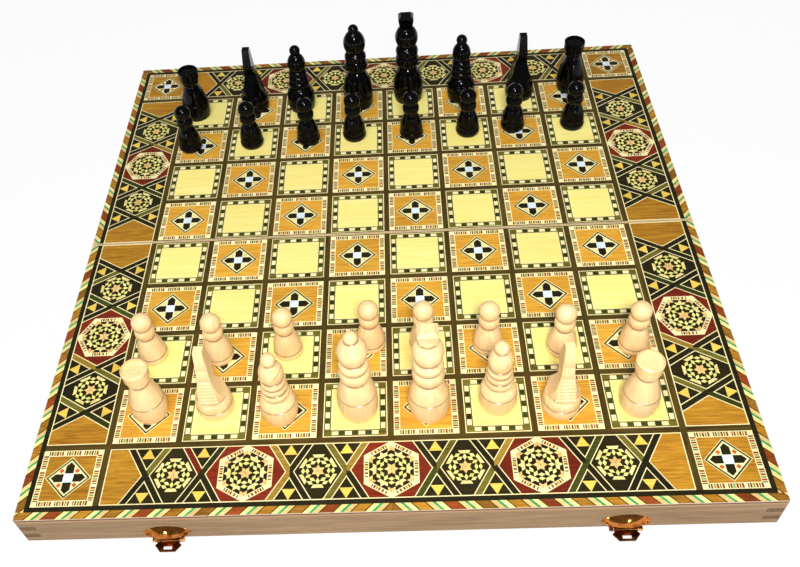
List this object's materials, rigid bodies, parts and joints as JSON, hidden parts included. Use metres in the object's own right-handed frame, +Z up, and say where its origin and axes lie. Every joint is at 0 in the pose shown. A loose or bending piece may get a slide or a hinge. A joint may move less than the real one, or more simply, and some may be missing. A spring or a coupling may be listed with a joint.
{
  "type": "folding chess box",
  "caption": "Folding wooden chess box laid open as an inlaid board, with finger-jointed trays, butt hinges, brass clasps and a full set of turned wooden men.",
  "frame": {"origin": "middle of the seam between the two halves, at the level of the rims that the open box stands on", "axes": "+Z up out of the playing surface, +X along the seam to White's right, +Y from White's side towards Black's side"},
  "size_m": [0.4, 0.4115, 0.0977],
  "materials": {
    "raw_wood": "satin",
    "strap_wood": "gloss",
    "light_wood": "gloss",
    "dark_wood": "gloss",
    "medallion_wood": "gloss",
    "white_men": "satin",
    "black_men": "gloss",
    "brass": "polished",
    "steel": "satin"
  },
  "bodies": {
    "rear_half": {"rear_outer_wall": "raw_wood", "rear_hinge_wall": "raw_wood", "rear_left_wall": "raw_wood", "rear_right_wall": "raw_wood", "rear_panel": "raw_wood", "rear_strapwork": "strap_wood", "rear_light_squares": "light_wood", "rear_dark_squares": "dark_wood", "rear_medallions": "medallion_wood", "rear_hinge_leaves": "brass", "hinge_pins": "steel", "catch_plates": "brass"},
    "front_half": {"front_outer_wall": "raw_wood", "front_hinge_wall": "raw_wood", "front_left_wall": "raw_wood", "front_right_wall": "raw_wood", "front_panel": "raw_wood", "front_strapwork": "strap_wood", "front_light_squares": "light_wood", "front_dark_squares": "dark_wood", "front_medallions": "medallion_wood", "front_hinge_leaves": "brass", "clasp_plates": "brass", "clasp_pins": "steel"},
    "left_tongue": {"clasp_tongue_left": "brass"},
    "right_tongue": {"clasp_tongue_right": "brass"},
    "white_rook_a": {"white_rook_a": "white_men"},
    "white_knight_b": {"white_knight_b": "white_men"},
    "white_bishop_c": {"white_bishop_c": "white_men"},
    "white_queen_d": {"white_queen_d": "white_men"},
    "white_king_e": {"white_king_e": "white_men"},
    "white_bishop_f": {"white_bishop_f": "white_men"},
    "white_knight_g": {"white_knight_g": "white_men"},
    "white_rook_h": {"white_rook_h": "white_men"},
    "white_pawn_a": {"white_pawn_a": "white_men"},
    "white_pawn_b": {"white_pawn_b": "white_men"},
    "white_pawn_c": {"white_pawn_c": "white_men"},
    "white_pawn_d": {"white_pawn_d": "white_men"},
    "white_pawn_e": {"white_pawn_e": "white_men"},
    "white_pawn_f": {"white_pawn_f": "white_men"},
    "white_pawn_g": {"white_pawn_g": "white_men"},
    "white_pawn_h": {"white_pawn_h": "white_men"},
    "black_pawn_a": {"black_pawn_a": "black_men"},
    "black_pawn_b": {"black_pawn_b": "black_men"},
    "black_pawn_c": {"black_pawn_c": "black_men"},
    "black_pawn_d": {"black_pawn_d": "black_men"},
    "black_pawn_e": {"black_pawn_e": "black_men"},
    "black_pawn_f": {"black_pawn_f": "black_men"},
    "black_pawn_g": {"black_pawn_g": "black_men"},
    "black_pawn_h": {"black_pawn_h": "black_men"},
    "black_rook_a": {"black_rook_a": "black_men"},
    "black_knight_b": {"black_knight_b": "black_men"},
    "black_bishop_c": {"black_bishop_c": "black_men"},
    "black_queen_d": {"black_queen_d": "black_men"},
    "black_king_e": {"black_king_e": "black_men"},
    "black_bishop_f": {"black_bishop_f": "black_men"},
    "black_knight_g": {"black_knight_g": "black_men"},
    "black_rook_h": {"black_rook_h": "black_men"}
  },
  "joints": [
    {"name": "fold", "type": "hinge", "parent": "rear_half", "child": "front_half", "pos_m": [0, 0, -0.0001], "axis": [1, 0, 0], "range_deg": [0, 180]},
    {"name": "left_clasp", "type": "hinge", "parent": "front_half", "child": "left_tongue", "pos_m": [-0.1215, -0.2022, 0.0014], "axis": [1, 0, 0], "range_deg": [-45, 90]},
    {"name": "right_clasp", "type": "hinge", "parent": "front_half", "child": "right_tongue", "pos_m": [0.1215, -0.2022, 0.0014], "axis": [1, 0, 0], "range_deg": [-45, 90]},
    {"name": "white_rook_a_lift", "type": "slide", "parent": "front_half", "child": "white_rook_a", "axis": [0, 0, 1], "range_m": [0, 0.1]},
    {"name": "white_knight_b_lift", "type": "slide", "parent": "front_half", "child": "white_knight_b", "axis": [0, 0, 1], "range_m": [0, 0.1]},
    {"name": "white_bishop_c_lift", "type": "slide", "parent": "front_half", "child": "white_bishop_c", "axis": [0, 0, 1], "range_m": [0, 0.1]},
    {"name": "white_queen_d_lift", "type": "slide", "parent": "front_half", "child": "white_queen_d", "axis": [0, 0, 1], "range_m": [0, 0.1]},
    {"name": "white_king_e_lift", "type": "slide", "parent": "front_half", "child": "white_king_e", "axis": [0, 0, 1], "range_m": [0, 0.1]},
    {"name": "white_bishop_f_lift", "type": "slide", "parent": "front_half", "child": "white_bishop_f", "axis": [0, 0, 1], "range_m": [0, 0.1]},
    {"name": "white_knight_g_lift", "type": "slide", "parent": "front_half", "child": "white_knight_g", "axis": [0, 0, 1], "range_m": [0, 0.1]},
    {"name": "white_rook_h_lift", "type": "slide", "parent": "front_half", "child": "white_rook_h", "axis": [0, 0, 1], "range_m": [0, 0.1]},
    {"name": "white_pawn_a_lift", "type": "slide", "parent": "front_half", "child": "white_pawn_a", "axis": [0, 0, 1], "range_m": [0, 0.1]},
    {"name": "white_pawn_b_lift", "type": "slide", "parent": "front_half", "child": "white_pawn_b", "axis": [0, 0, 1], "range_m": [0, 0.1]},
    {"name": "white_pawn_c_lift", "type": "slide", "parent": "front_half", "child": "white_pawn_c", "axis": [0, 0, 1], "range_m": [0, 0.1]},
    {"name": "white_pawn_d_lift", "type": "slide", "parent": "front_half", "child": "white_pawn_d", "axis": [0, 0, 1], "range_m": [0, 0.1]},
    {"name": "white_pawn_e_lift", "type": "slide", "parent": "front_half", "child": "white_pawn_e", "axis": [0, 0, 1], "range_m": [0, 0.1]},
    {"name": "white_pawn_f_lift", "type": "slide", "parent": "front_half", "child": "white_pawn_f", "axis": [0, 0, 1], "range_m": [0, 0.1]},
    {"name": "white_pawn_g_lift", "type": "slide", "parent": "front_half", "child": "white_pawn_g", "axis": [0, 0, 1], "range_m": [0, 0.1]},
    {"name": "white_pawn_h_lift", "type": "slide", "parent": "front_half", "child": "white_pawn_h", "axis": [0, 0, 1], "range_m": [0, 0.1]},
    {"name": "black_pawn_a_lift", "type": "slide", "parent": "rear_half", "child": "black_pawn_a", "axis": [0, 0, 1], "range_m": [0, 0.1]},
    {"name": "black_pawn_b_lift", "type": "slide", "parent": "rear_half", "child": "black_pawn_b", "axis": [0, 0, 1], "range_m": [0, 0.1]},
    {"name": "black_pawn_c_lift", "type": "slide", "parent": "rear_half", "child": "black_pawn_c", "axis": [0, 0, 1], "range_m": [0, 0.1]},
    {"name": "black_pawn_d_lift", "type": "slide", "parent": "rear_half", "child": "black_pawn_d", "axis": [0, 0, 1], "range_m": [0, 0.1]},
    {"name": "black_pawn_e_lift", "type": "slide", "parent": "rear_half", "child": "black_pawn_e", "axis": [0, 0, 1], "range_m": [0, 0.1]},
    {"name": "black_pawn_f_lift", "type": "slide", "parent": "rear_half", "child": "black_pawn_f", "axis": [0, 0, 1], "range_m": [0, 0.1]},
    {"name": "black_pawn_g_lift", "type": "slide", "parent": "rear_half", "child": "black_pawn_g", "axis": [0, 0, 1], "range_m": [0, 0.1]},
    {"name": "black_pawn_h_lift", "type": "slide", "parent": "rear_half", "child": "black_pawn_h", "axis": [0, 0, 1], "range_m": [0, 0.1]},
    {"name": "black_rook_a_lift", "type": "slide", "parent": "rear_half", "child": "black_rook_a", "axis": [0, 0, 1], "range_m": [0, 0.1]},
    {"name": "black_knight_b_lift", "type": "slide", "parent": "rear_half", "child": "black_knight_b", "axis": [0, 0, 1], "range_m": [0, 0.1]},
    {"name": "black_bishop_c_lift", "type": "slide", "parent": "rear_half", "child": "black_bishop_c", "axis": [0, 0, 1], "range_m": [0, 0.1]},
    {"name": "black_queen_d_lift", "type": "slide", "parent": "rear_half", "child": "black_queen_d", "axis": [0, 0, 1], "range_m": [0, 0.1]},
    {"name": "black_king_e_lift", "type": "slide", "parent": "rear_half", "child": "black_king_e", "axis": [0, 0, 1], "range_m": [0, 0.1]},
    {"name": "black_bishop_f_lift", "type": "slide", "parent": "rear_half", "child": "black_bishop_f", "axis": [0, 0, 1], "range_m": [0, 0.1]},
    {"name": "black_knight_g_lift", "type": "slide", "parent": "rear_half", "child": "black_knight_g", "axis": [0, 0, 1], "range_m": [0, 0.1]},
    {"name": "black_rook_h_lift", "type": "slide", "parent": "rear_half", "child": "black_rook_h", "axis": [0, 0, 1], "range_m": [0, 0.1]}
  ]
}
